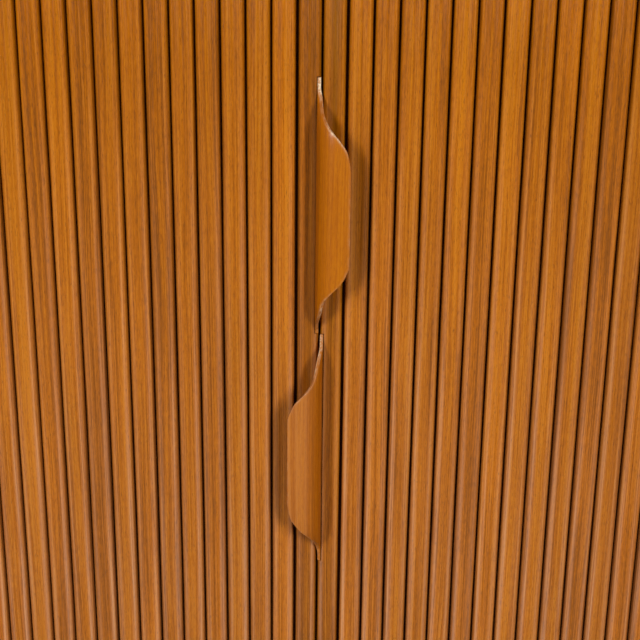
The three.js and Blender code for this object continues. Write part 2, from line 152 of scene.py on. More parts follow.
class CaseSizes(bpy.types.PropertyGroup):
    """Sizes of the case's and the base's eased edges and joints."""

    outer_edge: length("Outer edge", "Radius of the case's outer edges", 1.6)
    inner_edge: length("Inner edge", "Radius of the case's inner front edges", 0.8)
    shelf_edge: length("Shelf edge", "Radius of the shelves' edges", 1.2)
    thin_edge: length("Thin edge", "Radius of the edges of liners, back and rails", 0.6)
    mitre_gap: length("Mitre gap", "Glue line at the mitres", 0.2)
    groove: length("Groove", "Width of the groove that the doors run in", 4.9)
    groove_depth: length("Groove depth", "Depth of the groove that the doors run in", 7.45)
    pin_hole: length("Pin hole", "Radius of the shelf pin holes", 2.65)
    pin_hole_depth: length("Pin hole depth", "Depth of the shelf pin holes", 10.0)
    pin_hole_pitch: length("Pin hole pitch", "Distance between shelf pin holes", 32.0)
    foot: length("Foot", "Radius of a leg at the floor", 11.0)
    neck: length("Neck", "Radius of a leg at its neck", 15.5)
    shoulder: length("Shoulder", "Radius of a leg's bead under its head", 19.0)
    head: length("Head", "Height of a leg's square head", 60.0)


class Finishes(bpy.types.PropertyGroup):
    """Colours of the woods, the canvas and the brass."""

    pore: colour("Pore", "Open pores of the wood", "#4a2408")
    # Soil, and the same colour laid on as painted shade: along the grooves, the seam, beside the risers, and as
    # the painted shadow of a lip.
    soil: colour("Soil", "Oil that hands and dirt have darkened", "#553102")
    # Painted sheen: a pale colour laid on the slats' ridges and lower front, the end panels and the pulls'
    # lips, in place of reflected light.
    sheen_colour: colour("Faded", "Dry wood on the ridges that cleaning has paled", "#d9cfc4")
    # Bare wood where the oil is worn off, and painted highlight on the pulls' edges.
    worn_and_highlight: colour("Worn", "Bare wood where hands have worn the oil off", "#edd3ae")
    canvas: colour("Canvas", "Threads of the canvas backing", "#6e3814")
    canvas_gap: colour("Canvas gap", "Glue between the canvas's threads", "#2a1105")
    brass: colour("Brass", "Dulled brass of the shelf pins", "#b8924e")
    floor: colour("Floor", "Pale floor", "#e9e7e3")
    bounce: colour("Bounce", "How much light the floor throws back", "#454340")
    backdrop: colour("Backdrop", "What is seen behind the cabinet", "#dcdbd8")


# Each wood's dark, middle and light colours, of its late wood, its body and its early wood.
for kind, owner, codes in (
    ("slat", "the slats", ("#884a06", "#ad5e00", "#c27208")),
    ("pull", "the pulls", ("#a2580a", "#b26002", "#c37002")),
    ("case", "the case", ("#7b4517", "#a4662a", "#bd7c3a")),
    ("ply", "the plywood", ("#a67c49", "#c39962", "#d3ab77")),
):
    for shade, part, code in zip(("dark", "mid", "light"), ("Late wood", "Body colour", "Early wood"), codes):
        label = f"{kind} {shade}".capitalize()
        Finishes.__annotations__[f"{kind}_{shade}"] = colour(label, f"{part} of {owner}", code)


class StageSizes(bpy.types.PropertyGroup):
    """The camera's place and the lamps'."""

    lens: number("Lens", "Focal length", 70.0, "CAMERA")
    camera_distance: length("Camera distance", "From the doors' face to the camera", 785.4)
    camera_height: length("Camera height", "From the level where the pulls meet up to the camera", 264.8)
    camera_side: length("Camera side", "From the doors' meeting line to the camera", 29.1)
    camera_turn: angle("Camera turn", "How far it looks to the left", 2.088)
    camera_down: angle("Camera down", "How far it looks down", 17.98)
    camera_roll: angle("Camera roll", "How far it leans", 0.66)
    lamp_distance: length("Lamp distance", "From the pulls to a lamp", 3000.0)
    lamp_width: length("Lamp width", "Width of a lamp's soft panel", 510.0)
    lamp_height: length("Lamp height", "Height of a lamp's soft panel", 1050.0)
    lamp_side: angle("Lamp side", "How far a lamp stands to one side", 27.5)
    lamp_up: angle("Lamp rise", "How far a lamp stands above the pulls", 19.0)
    left_power: number("Left power", "Power of the left front lamp", 50.0, "POWER")
    right_power: number("Right power", "Power of the right front lamp", 51.0, "POWER")
    rear_power: number("Rear power", "Power of a rear lamp", 22.0, "POWER")
    floor_half: length("Floor half", "From the cabinet to the floor's edges", 6000.0)
    shadow_reach: length("Shadow reach", "Where the floor starts to turn into the backdrop", 1000.0)
    faded_out: length("Faded out", "Where the floor has turned into the backdrop", 2600.0)
    fill: number("Fill", "Strength of the even light all round", 0.0)
    mirrored: number("Mirrored", "Share of the pale surroundings that gloss shows", 0.2)


def rounded_loop(corners, radii):
    """A closed outline whose corners are rounded: at each corner a curve runs from the radius's distance on
    one side to the same distance on the other, as the weighted mean of the two ends and the corner."""
    corners = np.asarray(corners, float)
    parts = []
    for i, radius in enumerate(radii):
        here = corners[i]
        if radius <= 0:
            parts.append(here[None, :])
            continue
        before = corners[i - 1] - here
        after = corners[(i + 1) % len(corners)] - here
        start = here + before / np.linalg.norm(before) * radius
        end = here + after / np.linalg.norm(after) * radius
        t = np.linspace(0, 1, EASE_POINTS)[:, None]
        weights = (1 - t) ** 2, np.sqrt(2) * t * (1 - t), t**2
        total = sum(weights)
        parts.append((weights[0] * start + weights[1] * here + weights[2] * end) / total)
    return np.concatenate(parts)


def wander(random, places, wave, size):
    """A slow stray along a length: three sines of random phase, each half as long and half as strong."""
    total = np.zeros_like(places)
    for k in range(3):
        total += np.sin(places * (2 * np.pi * 2**k / wave) + random.uniform(0, 2 * np.pi)) / 2**k
    return size * total / (1 + 1 / 2 + 1 / 4)


def ring_faces(stations, ring, start=0):
    """Quads between one ring of points and the next, and a cap on the first and last rings."""
    i = np.arange(stations - 1)[:, None] * ring
    j = np.arange(ring)[None, :]
    following = (j + 1) % ring
    quads = np.stack([i + j, i + following, i + ring + following, i + ring + j], axis=-1).reshape(-1, 4)
    first = list(range(ring - 1, -1, -1))
    last = list(range((stations - 1) * ring, stations * ring))
    return [[start + k for k in face] for face in (*quads.tolist(), first, last)]


def enclosed(points, faces):
    """The volume that the faces enclose, positive when they point outwards: the sum over each face's fan of
    triangles of the product of its three corners, over six."""
    total = 0.0
    by_size = {}
    for face in faces:
        by_size.setdefault(len(face), []).append(face)
    for group in by_size.values():
        corners = points[np.array(group)]
        a = corners[:, :1]
        b = corners[:, 1:-1]
        c = corners[:, 2:]
        total += np.sum(a * np.cross(b, c)) / 6
    return total


def linked(name, data):
    """A new object in the scene that holds the mesh, light or camera given."""
    made = bpy.data.objects.new(name, data)
    bpy.context.scene.collection.objects.link(made)
    return made


# How far from the log's middle a piece may have been cut, in millimetres.
LOG_REACH = 400


def make_piece(
    name, shells, material, home, random=None, vary=0.0, order=(0, 1, 2), places=None, light=1.0, sharp=32.0,
    **shares
):
    """A mesh object from closed shells of rings. Each shell is an array of stations by ring by three. Home is
    the body that it moves with, the slot of its finish, which is not used, and the node that it stands for.
    Order names the axes that run across, through and along the fibres, and places gives that in millimetres
    for a bent piece.
    Where in the log it was cut and how far its tone varies come from random, and light scales the tone, as
    painted light on the slats and end panels. The shares, such as the wear, painted highlight, soil, painted
    shade and painted sheen of each point, become attributes of the same name."""
    offset = random.uniform(-LOG_REACH, LOG_REACH, 3) if random else 0
    tone = light * (1 + random.normal(0, vary)) if vary else light
    body, slot, node = home
    points, faces = [], []
    count = 0
    for rings in shells:
        stations, ring = rings.shape[:2]
        flat = rings.reshape(-1, 3)
        shell_faces = ring_faces(stations, ring)
        if enclosed(flat, shell_faces) < 0:
            shell_faces = [face[::-1] for face in shell_faces]
        faces += [[k + count for k in face] for face in shell_faces]
        points.append(flat)
        count += len(flat)
    points = np.concatenate(points)
    mesh = bpy.data.meshes.new(name)
    mesh.from_pydata(points.tolist(), [], faces)
    places = points[:, list(order)] / MM if places is None else places.reshape(-1, 3)
    grain = mesh.attributes.new("grain", "FLOAT_VECTOR", "POINT").data
    grain.foreach_set("vector", np.asarray(places + offset, np.float32).ravel())
    for key, value in {"tone": tone, **shares}.items():
        values = np.broadcast_to(np.asarray(value, np.float32).ravel(), count)
        mesh.attributes.new(key, "FLOAT", "POINT").data.foreach_set("value", np.ascontiguousarray(values))
    mesh.shade_smooth()
    mesh.set_sharp_from_angle(angle=np.radians(sharp))
    mesh.materials.append(material)
    piece = linked(name, mesh)
    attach(piece, body)
    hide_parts(node)
    return piece


def lifted(section, levels):
    """A section carried straight up through the levels. It is one outline, or one for each level."""
    rings = np.empty((len(levels), section.shape[-2], 3))
    rings[..., :2] = section
    rings[..., 2] = levels[:, None]
    return rings


def add(tree, kind, inputs=(), output=0, **settings):
    """Adds a node with its settings and gives one of its outputs, or the node if it has none. The inputs come
    in order, or by name or place. One that is a socket is linked, and any other value is set."""
    made = tree.nodes.new("ShaderNode" + kind)
    for name, value in settings.items():
        setattr(made, name, value)
    for key, value in inputs.items() if isinstance(inputs, dict) else enumerate(inputs):
        if isinstance(value, bpy.types.NodeSocket):
            tree.links.new(value, made.inputs[key])
        else:
            made.inputs[key].default_value = value
    return made.outputs[output] if made.outputs else made


def new_material(name):
    """An empty node material and its tree."""
    material = bpy.data.materials.new(name)
    material.use_nodes = True
    material.node_tree.nodes.clear()
    return material, material.node_tree


# Widths in millimetres of the patterns that the woods share, across, through and along the fibres. The pores
# and the fibres are drawn a little coarser than real ones, so that they show.
DRIFT_WIDTHS = (60, 60, 260)
FLECK_WIDTHS = (0.8, 0.8, 6)
FIBRE_WIDTHS = (0.42, 0.6, 28)
PORE_WIDTHS = (0.22, 0.22, 3.2)
CLOUD_WIDTHS = (55, 55, 160)
PATCH_WIDTHS = (1.6, 1.6, 4.5)
BAND_RUN, STREAK_RUN, LINE_RUN = 900, 260, 300
# How far the fibres drift from straight, in millimetres.
DRIFT_REACH = (7, 7, 0)
PORE_RELIEF = 0.12 * MM
# The canvas's thread spacing and slubs, and the brass's turning marks and tarnish, in millimetres.
THREAD_SPACING = 0.9
SLUB_WIDTHS = (6, 6, 6)
TURNING_WIDTHS = (40, 40, 0.25)
TARNISH_WIDTHS = (3, 3, 3)
THREAD_RELIEF, TURNING_RELIEF = 0.2 * MM, 0.03 * MM
# Each wood: its material's name, its roughness, the widths of its streaks and its figure in millimetres, its
# gloss, and how strongly its pores show.
WOODS = {
    # Solid teak, planed and oiled: a low sheen that follows the slats' hollows.
    "slat": ("oiled teak slats", 0.24, 2.6, 14.0, 0.25, 1.0),
    # Formed teak, handled until its edges are bare and its pores are filled; its edges also carry painted
    # highlight.
    "pull": ("formed teak pulls", 0.28, 3.4, 26.0, 0.22, 0.5),
    # Teak veneer of the case and the base's solid teak: a broader figure and a duller satin.
    "case": ("oiled teak veneer", 0.42, 3.2, 22.0, 0.4, 1.0),
    # Plywood under a thin lacquer: pale, with a broad figure and few open pores.
    "ply": ("lacquered plywood", 0.5, 5.0, 40.0, 0.35, 0.4),
}


def stretched_noise(tree, place, widths, detail=2.0, roughness=0.5, output="Fac"):
    """Noise whose grains have the widths given in millimetres across, through and along the fibres."""
    scaled = add(tree, "VectorMath", (place, [1 / width for width in widths]), operation="MULTIPLY")
    inputs = {"Vector": scaled, "Scale": 1.0, "Detail": detail, "Roughness": roughness}
    return add(tree, "TexNoise", inputs, output)


def oiled_wood(name, shades, roughness, streak, figure, gloss, pores):
    """Straight-grained wood, planed, sanded and oiled. Broad bands and narrow streaks run with the fibres,
    the open pores are short dark dashes, and the oil leaves a satin gloss that the fibres break up. The
    shades are those of its dark, middle and light wood."""
    finishes = bpy.context.scene.cabinet_finishes
    material, tree = new_material(name)
    grain = add(tree, "Attribute", output="Vector", attribute_name="grain")
    # The tone also carries painted light on the slats and end panels. The shares hold soil and painted shade,
    # painted sheen, and wear with painted highlight.
    keys = ("tone", "soil", "fade", "wear")
    tone, soil, fade, wear = [add(tree, "Attribute", output="Fac", attribute_name=key) for key in keys]
    drift = stretched_noise(tree, grain, DRIFT_WIDTHS, 1.0, output="Color")
    place = add(tree, "VectorMath", (drift, DRIFT_REACH, grain), operation="MULTIPLY_ADD")
    band = stretched_noise(tree, place, (figure, figure, BAND_RUN))
    streaks = stretched_noise(tree, place, (streak, streak * 1.6, STREAK_RUN), 3.0, 0.6)
    lines = stretched_noise(tree, place, (streak * 0.33, streak * 0.5, LINE_RUN), 2.0, 0.6)
    flecks = stretched_noise(tree, place, FLECK_WIDTHS, 2.0, 0.6)
    fibre = stretched_noise(tree, place, FIBRE_WIDTHS, 3.0, 0.65)
    dashes = stretched_noise(tree, place, PORE_WIDTHS, 1.0, 0.4)
    cloud = stretched_noise(tree, place, CLOUD_WIDTHS)
    patches = stretched_noise(tree, grain, PATCH_WIDTHS, 3.0, 0.7)
    depth = 0.0
    for noise, weight in ((band, 0.22), (streaks, 0.26), (lines, 0.3), (flecks, 0.18), (fibre, 0.16)):
        depth = add(tree, "Math", (noise, weight, depth), operation="MULTIPLY_ADD")
    ramp = add(tree, "ValToRGB", (depth,))
    stop_shares = (0.465, 0.545, 0.64)
    stops = ramp.node.color_ramp.elements
    stops.new(stop_shares[1])
    for stop, share, shade in zip(stops, stop_shares, shades):
        stop.position = share
        stop.color = shade
    pore = add(tree, "MapRange", (dashes, 0.635, 0.7, 0.0, 0.55 * pores))
    body = add(tree, "Mix", {0: pore, 6: ramp, 7: finishes.pore}, 2, data_type="RGBA")
    uneven = add(tree, "MapRange", (cloud, 0.3, 0.7, -0.07, 0.07))
    level = add(tree, "Math", (uneven, tone))
    shown_wood = add(tree, "HueSaturation", {"Color": body, "Value": level})
    # What lies over the wood: soil and painted shade, painted sheen, and wear with painted highlight. For each:
    # its share, the noise that breaks it up, that noise's range and what it turns to, and the colour.
    for share, noise, reach, cover in (
        (soil, lines, (0.35, 0.65, 1.0, 0.45), finishes.soil),
        (fade, lines, (0.35, 0.65, 0.5, 1.5), finishes.sheen_colour),
        (wear, patches, (0.4, 0.62, 0.35, 2.2), finishes.worn_and_highlight),
    ):
        broken = add(tree, "MapRange", (noise, *reach))
        amount = add(tree, "Math", (share, broken), operation="MULTIPLY")
        shown_wood = add(tree, "Mix", {0: amount, 6: shown_wood, 7: cover}, 2, data_type="RGBA")
    height = add(tree, "Math", (streaks, 0.6, fibre), operation="MULTIPLY_ADD")
    height = add(tree, "Math", (pore, -1.4, height), operation="MULTIPLY_ADD")
    inputs = {
        "Base Color": shown_wood,
        "Roughness": add(tree, "MapRange", (fibre, 0.3, 0.7, roughness - 0.05, roughness + 0.07)),
        "IOR": 1.5,
        "Specular IOR Level": gloss,
        "Normal": add(tree, "Bump", {"Height": height, "Strength": 0.35, "Distance": PORE_RELIEF}),
    }
    add(tree, "OutputMaterial", {"Surface": add(tree, "BsdfPrincipled", inputs)})
    return material


def wood(kind):
    """The material of a kind of wood, made the first time that it is asked for."""
    name, *looks = WOODS[kind]
    finishes = bpy.context.scene.cabinet_finishes
    shades = [getattr(finishes, f"{kind}_{shade}") for shade in ("dark", "mid", "light")]
    return bpy.data.materials.get(name) or oiled_wood(name, shades, *looks)


def glued_canvas():
    """Plain-woven cotton canvas soaked with glue: two sets of threads that cross, dull all over."""
    finishes = bpy.context.scene.cabinet_finishes
    material, tree = new_material("glued cotton canvas")
    grain = add(tree, "Attribute", output="Vector", attribute_name="grain")
    waves = []
    for axis in ("X", "Z"):
        along = add(tree, "SeparateXYZ", (grain,), axis)
        turns = add(tree, "Math", (along, 2 * np.pi / THREAD_SPACING), operation="MULTIPLY")
        waves.append(add(tree, "Math", (turns,), operation="SINE"))
    weave = add(tree, "Math", waves, operation="MULTIPLY")
    slub = stretched_noise(tree, grain, SLUB_WIDTHS, 3.0)
    threads = add(tree, "MapRange", (weave, -1.0, 1.0, 0.25, 0.8))
    shade = add(tree, "Math", (slub, 0.4, threads), operation="MULTIPLY_ADD")
    inputs = {
        "Base Color": add(
            tree, "Mix", {0: shade, 6: finishes.canvas_gap, 7: finishes.canvas}, 2, data_type="RGBA"
        ),
        "Roughness": 0.9,
        "Normal": add(tree, "Bump", {"Height": weave, "Strength": 0.6, "Distance": THREAD_RELIEF}),
    }
    add(tree, "OutputMaterial", {"Surface": add(tree, "BsdfPrincipled", inputs)})
    return material


def turned_brass():
    """Brass turned on a lathe and dulled: fine rings round the pin, and a soft tarnish."""
    finishes = bpy.context.scene.cabinet_finishes
    material, tree = new_material("turned brass")
    grain = add(tree, "Attribute", output="Vector", attribute_name="grain")
    rings = stretched_noise(tree, grain, TURNING_WIDTHS)
    tarnish = stretched_noise(tree, grain, TARNISH_WIDTHS, 4.0)
    dulled = add(tree, "MapRange", (tarnish, 0.35, 0.7, 0.0, 0.4))
    inputs = {
        "Base Color": add(
            tree, "Mix", {0: dulled, 6: finishes.brass, 7: finishes.case_mid}, 2, data_type="RGBA"
        ),
        "Metallic": 1.0,
        "Roughness": add(tree, "MapRange", (tarnish, 0.3, 0.7, 0.24, 0.42)),
        "Normal": add(tree, "Bump", {"Height": rings, "Strength": 0.3, "Distance": TURNING_RELIEF}),
    }
    add(tree, "OutputMaterial", {"Surface": add(tree, "BsdfPrincipled", inputs)})
    return material


# How many points a slat's section has down each side and round its back corner.
SIDE_POINTS = 5


def slat_face(half, arris, hollow):
    """A slat's front at each station, across and in depth, from one side's edge to the other's: a quarter
    circle, the hollow, and a quarter circle. The hollow is deepest in the middle, and its depth goes with the
    square of one less the square of the share of the way to the ridge."""
    ridge = (half - arris)[:, None]
    turn = np.radians(np.linspace(90, 0, ARRIS_POINTS))[None, :]
    left = np.stack([-ridge - arris[:, None] * np.sin(turn), arris[:, None] * (1 - np.cos(turn))], axis=-1)
    share = np.linspace(-1, 1, HOLLOW_POINTS)[None, 1:-1]
    dip = hollow[:, None] * (1 - share**2) ** 2
    face = np.stack([ridge * share, dip], axis=-1)
    return np.concatenate([left, face, left[:, ::-1] * [-1, 1]], axis=1)


def slat_section(half, thickness, arris, hollow, back_edge):
    """A slat's whole outline at each station: its front, two points down each side, and its back corners."""
    front = slat_face(half, arris, hollow)
    foot = front[:, -1, 1]
    ends = thickness - back_edge
    down = [(half, foot + (ends - foot) * share) for share in (0.3, 0.6)]
    for turn in np.radians((0, 45, 90)):
        down.append((half - back_edge * (1 - np.cos(turn)), ends + back_edge * np.sin(turn) + 0 * half))
    right = np.stack([np.stack(pair, axis=-1) for pair in down], axis=1)
    return np.concatenate([front, right, right[:, ::-1] * [-1, 1]], axis=1)


# How far a slat's rounded edges and its hollow vary along it, and how long the step at a pull's seat is, as a
# share of the seat's gap.
ARRIS_VARY_SHARE, HOLLOW_VARY_SHARE, SEAT_STEP_SHARE = 0.1, 0.15, 1 / 9


def slat_rings(node, sizes, random):
    """A slat as rings from its lower tongue to its upper one, its edges straying a little on the way."""
    low, high = span(node)
    middle = (low[0] + high[0]) / 2
    body_low = INNER_BOTTOM + sizes.shoulder_gap
    body_high = INNER_TOP - sizes.shoulder_gap
    thickness = high[1] - low[1]
    half_width = (high[0] - low[0]) / 2
    levels = np.linspace(body_low, body_high, SLAT_RINGS)
    pull = node.replace("lead_slat", "pull")
    if pull != node:
        seat = np.array([span(pull)[0][2] - sizes.seat_gap, span(pull)[1][2] + sizes.seat_gap])
        step = SEAT_STEP_SHARE * sizes.seat_gap
        levels = np.sort(np.concatenate([levels, seat, seat + [-step, step]]))
    levels = np.concatenate([[low[2], body_low], levels, [body_high, high[2]]])
    half = half_width - sizes.waver + wander(random, levels, sizes.waver_length, sizes.waver)
    arris = sizes.arris * (1 + wander(random, levels, sizes.waver_length / 2, ARRIS_VARY_SHARE))
    hollow = sizes.hollow * (1 + wander(random, levels, sizes.waver_length, HOLLOW_VARY_SHARE))
    section = slat_section(half, thickness, arris, hollow, sizes.back_edge)
    if pull != node:
        root = span(pull)[1][1] - DOOR_FACE + sizes.seat_gap
        edge = half_width - bpy.context.scene.cabinet_pulls.thickness - sizes.seat_gap
        seated = (levels >= seat[0]) & (levels <= seat[1])
        front = section.shape[1] - 2 * SIDE_POINTS
        cut = section[seated]
        cut[:, :front, 0] = np.minimum(cut[:, :front, 0], edge)
        cut[:, front, 0] = edge
        cut[:, front : front + 2, 1] = root
        section[seated] = cut
        if node.startswith("right"):
            section[..., 0] *= -1
    tongue_front = (thickness - sizes.tongue) / 2
    for k in (0, 1, -2, -1):
        section[k, :, 1] = tongue_front + section[k, :, 1] * sizes.tongue / thickness
        section[k, :, 0] *= 1 - sizes.tongue_inset / half_width
    return lifted(section + [middle, low[1]], levels)


# How soiled each lead slat is in its middle above the pulls' level and below it, and how far to the right of
# it that soil lies in shares of its half width; and how much painted shade lies along its meeting edge and
# beside its pull's riser.
LEAD_SOIL_AND_SHADE_SHARES = {"left": (0.3, 0.2, 0.25, 0.0, 1.0), "right": (0.6, 0.2, 0.05, 0.5, 0.3)}
# The least soil on a lead slat, the dirt and painted groove shade on a slat's rounded edges, and the painted
# shadow of a lip.
LEAST_SOIL_SHARE, ARRIS_DIRT_AND_SHADE_SHARE, LIP_SHADOW_SHARE = 0.1, 0.45, 0.4
# The height over which the lead slats' soil changes, and the distances over which painted shade falls off
# along the meeting edge and beside a riser, and dirt with painted shade on a slat's rounded edges.
SOIL_RISE, SEAM_SHADE_REACH, ROOT_SHADE_REACH, ARRIS_DIRT_AND_SHADE_REACH = 100 * MM, 1.5 * MM, 0.9 * MM, 0.9 * MM
# Where the painted shadow of a lip lies beyond the lip's edge, how far across the slats it spreads, and how
# far along the pull.
LIP_SHADOW_REACH, LIP_SHADOW_SPREAD, LIP_SHADOW_RUN = 5 * MM, 8 * MM, 60 * MM
# The height over which painted light and sheen grow downwards; and how much lighter the front is painted
# low down, on a ridge as a painted highlight, and in the painted strip of sheen that both make.
PAINTED_LIGHT_RISE = 360 * MM
LOW_LIGHT_SHARE, RIDGE_LIGHT_SHARE, INNER_LIGHT_SHARE = 0.09, 0.06, 0.12
# How much painted sheen the front has at its least high up, on a slat's ridges, on an end panel, and how much
# more on the ridge towards the middle of the cabinet.
LEAST_SHEEN_SHARE, RIDGE_SHEEN_SHARE, PANEL_SHEEN_SHARE, INNER_SHEEN_SHARE = 0.03, 0.1, 0.06, 0.35
# In shares of a slat's half width: how wide the painted highlight on its ridges is, where the painted strip of
# sheen down its outer half lies and how wide it is, and how wide the soil of hands is.
RIDGE_SHARE, GLOW_PLACE_SHARE, GLOW_SHARE, HAND_SHARE = 0.2, 0.5, 0.15**0.5, 0.2**0.5
# How fast the painted light grows downwards, and how fast soil and painted shade cover the painted sheen.
LIGHT_SLOPE, SOIL_AND_SHADE_COVER = 1.6, 1.5
# The lead slats' tone beside the others', and how far the tones of the slats and of other pieces vary.
LEAD_TONE_SHARE, SLAT_TONE_SHARE, TONE_SHARE = 0.93, 0.03, 0.02


def bell(offset, width):
    """A bell curve: e to the power of less the square of the offset over the width."""
    return np.exp(-((offset / width) ** 2))


def slat_places(rings):
    """Half of a slat's width, and how far across it each point is, from -1 to 1."""
    across = rings[..., 0]
    half = (across.max() - across.min()) / 2
    return half, (across - (across.max() + across.min()) / 2) / half


def low_down(rings):
    """How far down the part of the front with painted light and painted sheen each point is, from 0 to 1, how
    much painted light it has there, and how much its painted sheen grows there."""
    below = np.clip(0.5 - (rings[..., 2] - PULL_LEVEL) / PAINTED_LIGHT_RISE, 0, 1)
    light = 1 + LOW_LIGHT_SHARE * np.clip(LIGHT_SLOPE * below, 0, 1)
    return below, light, LEAST_SHEEN_SHARE + (1 - LEAST_SHEEN_SHARE) * below


def slat_light_sheen_and_shade(rings, side, sizes):
    """How much painted light, painted sheen, and dirt with painted shade each point of a slat has.
    Each ridge has a painted highlight, by a bell curve round it. Painted sheen grows from the pulls'
    level downwards, most on the ridge towards the middle of the cabinet, and painted light grows
    downwards too, most in a strip down one half. Dirt and painted shade of the grooves lie along its
    rounded edges."""
    half, offset = slat_places(rings)
    # Painted highlight round each ridge.
    ridge = bell(np.abs(offset) - 1 + sizes.arris / half, RIDGE_SHARE)
    below, light, lower_sheen = low_down(rings)
    inner = 1 - INNER_SHEEN_SHARE * SIDES[side] * np.sign(offset)
    # Painted sheen, most on the ridges and growing downwards.
    fade = lower_sheen * (LEAST_SHEEN_SHARE + RIDGE_SHEEN_SHARE * inner * ridge)
    # Painted strip of sheen down one half, growing downwards.
    glow = below * bell(SIDES[side] * offset + GLOW_PLACE_SHARE, GLOW_SHARE)
    # Dirt, and painted shade of the grooves, along the rounded edges.
    edge_dirt_and_shade = ARRIS_DIRT_AND_SHADE_SHARE * bell((1 - np.abs(offset)) * half, ARRIS_DIRT_AND_SHADE_REACH)
    return light + RIDGE_LIGHT_SHARE * ridge + INNER_LIGHT_SHARE * glow, fade, edge_dirt_and_shade


def hand_soil_and_shade(rings, side):
    """How soiled and shaded each point of a lead slat is: a bell curve of soil across the slat, and painted
    shade along its meeting edge and beside the pull's riser, both falling off with the distance."""
    offset = slat_places(rings)[1]
    across, level = rings[..., 0], rings[..., 2]
    above, below, shift, seam_shade_share, root_shade_share = LEAD_SOIL_AND_SHADE_SHARES[side]
    strength = below + (above - below) * np.clip((level - PULL_LEVEL) / SOIL_RISE + 0.5, 0, 1)
    pull_low, pull_high = span(side + "_pull")
    riser = pull_low[0] if side == "left" else pull_high[0]
    by_pull = (level > pull_low[2]) & (level < pull_high[2])
    # Painted shade along the seam between the doors, and painted shade beside the pull's riser.
    edge = seam_shade_share * np.exp(-np.abs(across) / SEAM_SHADE_REACH)
    root = root_shade_share * by_pull * np.exp(-np.abs(across - riser) / ROOT_SHADE_REACH)
    return LEAST_SOIL_SHARE + strength * bell(offset - shift, HAND_SHARE) + edge + root


def painted_lip_shadow(rings, side):
    """How dark the painted shadow of the other door's lip makes the slats: a bell curve across them just beyond
    the lip's edge, times a flatter one, to the fourth power, along the pull."""
    pull_low, pull_high = span("right_pull" if side == "left" else "left_pull")
    reach = pull_low[0] - LIP_SHADOW_REACH if side == "left" else pull_high[0] + LIP_SHADOW_REACH
    along = (rings[..., 2] - (pull_low[2] + pull_high[2]) / 2) / LIP_SHADOW_RUN
    return LIP_SHADOW_SHARE * bell(rings[..., 0] - reach, LIP_SHADOW_SPREAD) * np.exp(-(along**4))


class CABINET_OT_slats(bpy.types.Operator):
    """Makes every slat of both doors"""

    bl_idname = "cabinet.slats"
    bl_label = "Tambour slats"

    def execute(self, context):
        sizes = context.scene.cabinet_tambour
        random = np.random.default_rng(SEEDS["slats"])
        for side in SIDES:
            body = side + "_door"
            for node in sorted(n for n in BODIES[body] if "slat" in n):
                rings = slat_rings(node, sizes, random)
                light, fade, soil = slat_light_sheen_and_shade(rings, side, sizes)
                # Painted shadow of the other door's lip, laid into the soil and shade share.
                soil = soil + painted_lip_shadow(rings, side)
                if "lead" in node:
                    light = light * LEAD_TONE_SHARE
                    soil = soil + hand_soil_and_shade(rings, side)
                    # Soil and painted shade cover the painted sheen.
                    fade = fade * (1 - np.clip(SOIL_AND_SHADE_COVER * soil, 0, 1))
                looks = {"light": light, "soil": soil, "fade": fade}
                home = (body, "slat_teak", node)
                make_piece(node + "_wood", [rings], wood("slat"), home, random, SLAT_TONE_SHARE, **looks)
        return {"FINISHED"}


# The canvas's thickness, and half of what it sinks in between the slats.
CANVAS_THICKNESS, HALF_SINK = 0.5 * MM, 0.04 * MM


class CABINET_OT_canvas(bpy.types.Operator):
    """Makes the canvas behind each door's slats"""

    bl_idname = "cabinet.canvas"
    bl_label = "Canvas backings"

    def execute(self, context):
        cloth = glued_canvas()
        for side in SIDES:
            node = side + "_canvas_backing"
            low, high = span(node)
            across = np.linspace(low[0], high[0], CANVAS_POINTS)
            dip = HALF_SINK * (1 + np.cos(2 * np.pi * across / context.scene.cabinet_tambour.pitch))
            front = np.stack([across, low[1] + dip], axis=1)
            back = np.stack([across, low[1] + dip + CANVAS_THICKNESS], axis=1)[::-1]
            rings = lifted(np.concatenate([front, back]), np.linspace(low[2], high[2], CANVAS_RINGS))
            piece = make_piece(side + "_canvas", [rings], cloth, (side + "_door", "canvas_backing", node))
        return {"FINISHED"}


# The two ends of a pull's flat blank: shares of the end's length, and of the blank's full width.
BLANK_SHARES = (0, 0.1, 0.22, 0.36, 0.5, 0.64, 0.78, 0.9, 1)
OUTER_SHARES = np.stack([BLANK_SHARES, (0, 0.28, 0.42, 0.49, 0.63, 0.815, 0.94, 0.98, 1)], axis=1)
INNER_SHARES = np.stack([BLANK_SHARES, (0, 0.22, 0.4, 0.49, 0.555, 0.71, 0.88, 0.96, 1)], axis=1)
# How high a pull stands towards its two ends: shares of the end's length, and of the full height.
OUTER_HEIGHT_SHARES = np.stack(
    [
        (0, 0.16, 0.25, 0.32, 0.39, 0.47, 0.6, 0.75, 1),
        (0.05, 0.1, 0.26, 0.5, 0.69, 0.86, 0.97, 0.995, 1),
    ],
    axis=1,
)
INNER_HEIGHT_SHARES = np.stack(
    [(0, 0.045, 0.166, 0.3, 0.45, 0.57, 1), (0.06, 0.18, 0.44, 0.79, 0.97, 0.99, 1)], axis=1
)
# Where each pull's edge is rubbed bare and given a painted highlight: shares of its length from its outer end
# for the place and for how far it spreads, and how bare and bright.
WEAR_AND_HIGHLIGHT_SHARES = {
    "left": ((0.5, 0.9, 0.13), (0.03, 0.045, 0.7), (0.2, 0.035, 1.2), (0.86, 0.05, 0.3), (0.6, 0.01, 0.5)),
    "right": ((0.5, 0.9, 0.11), (0.94, 0.07, 0.28), (0.78, 0.04, 0.2), (0.35, 0.01, 0.4)),
}
# How much of an edge's wear and painted highlight reaches its outer side, and how much painted sheen each
# pull's lip has.
LEAST_WEAR_AND_HIGHLIGHT_SHARE = 0.35
LIP_SHEEN_SHARES = {"left": 0.006, "right": 0.04}
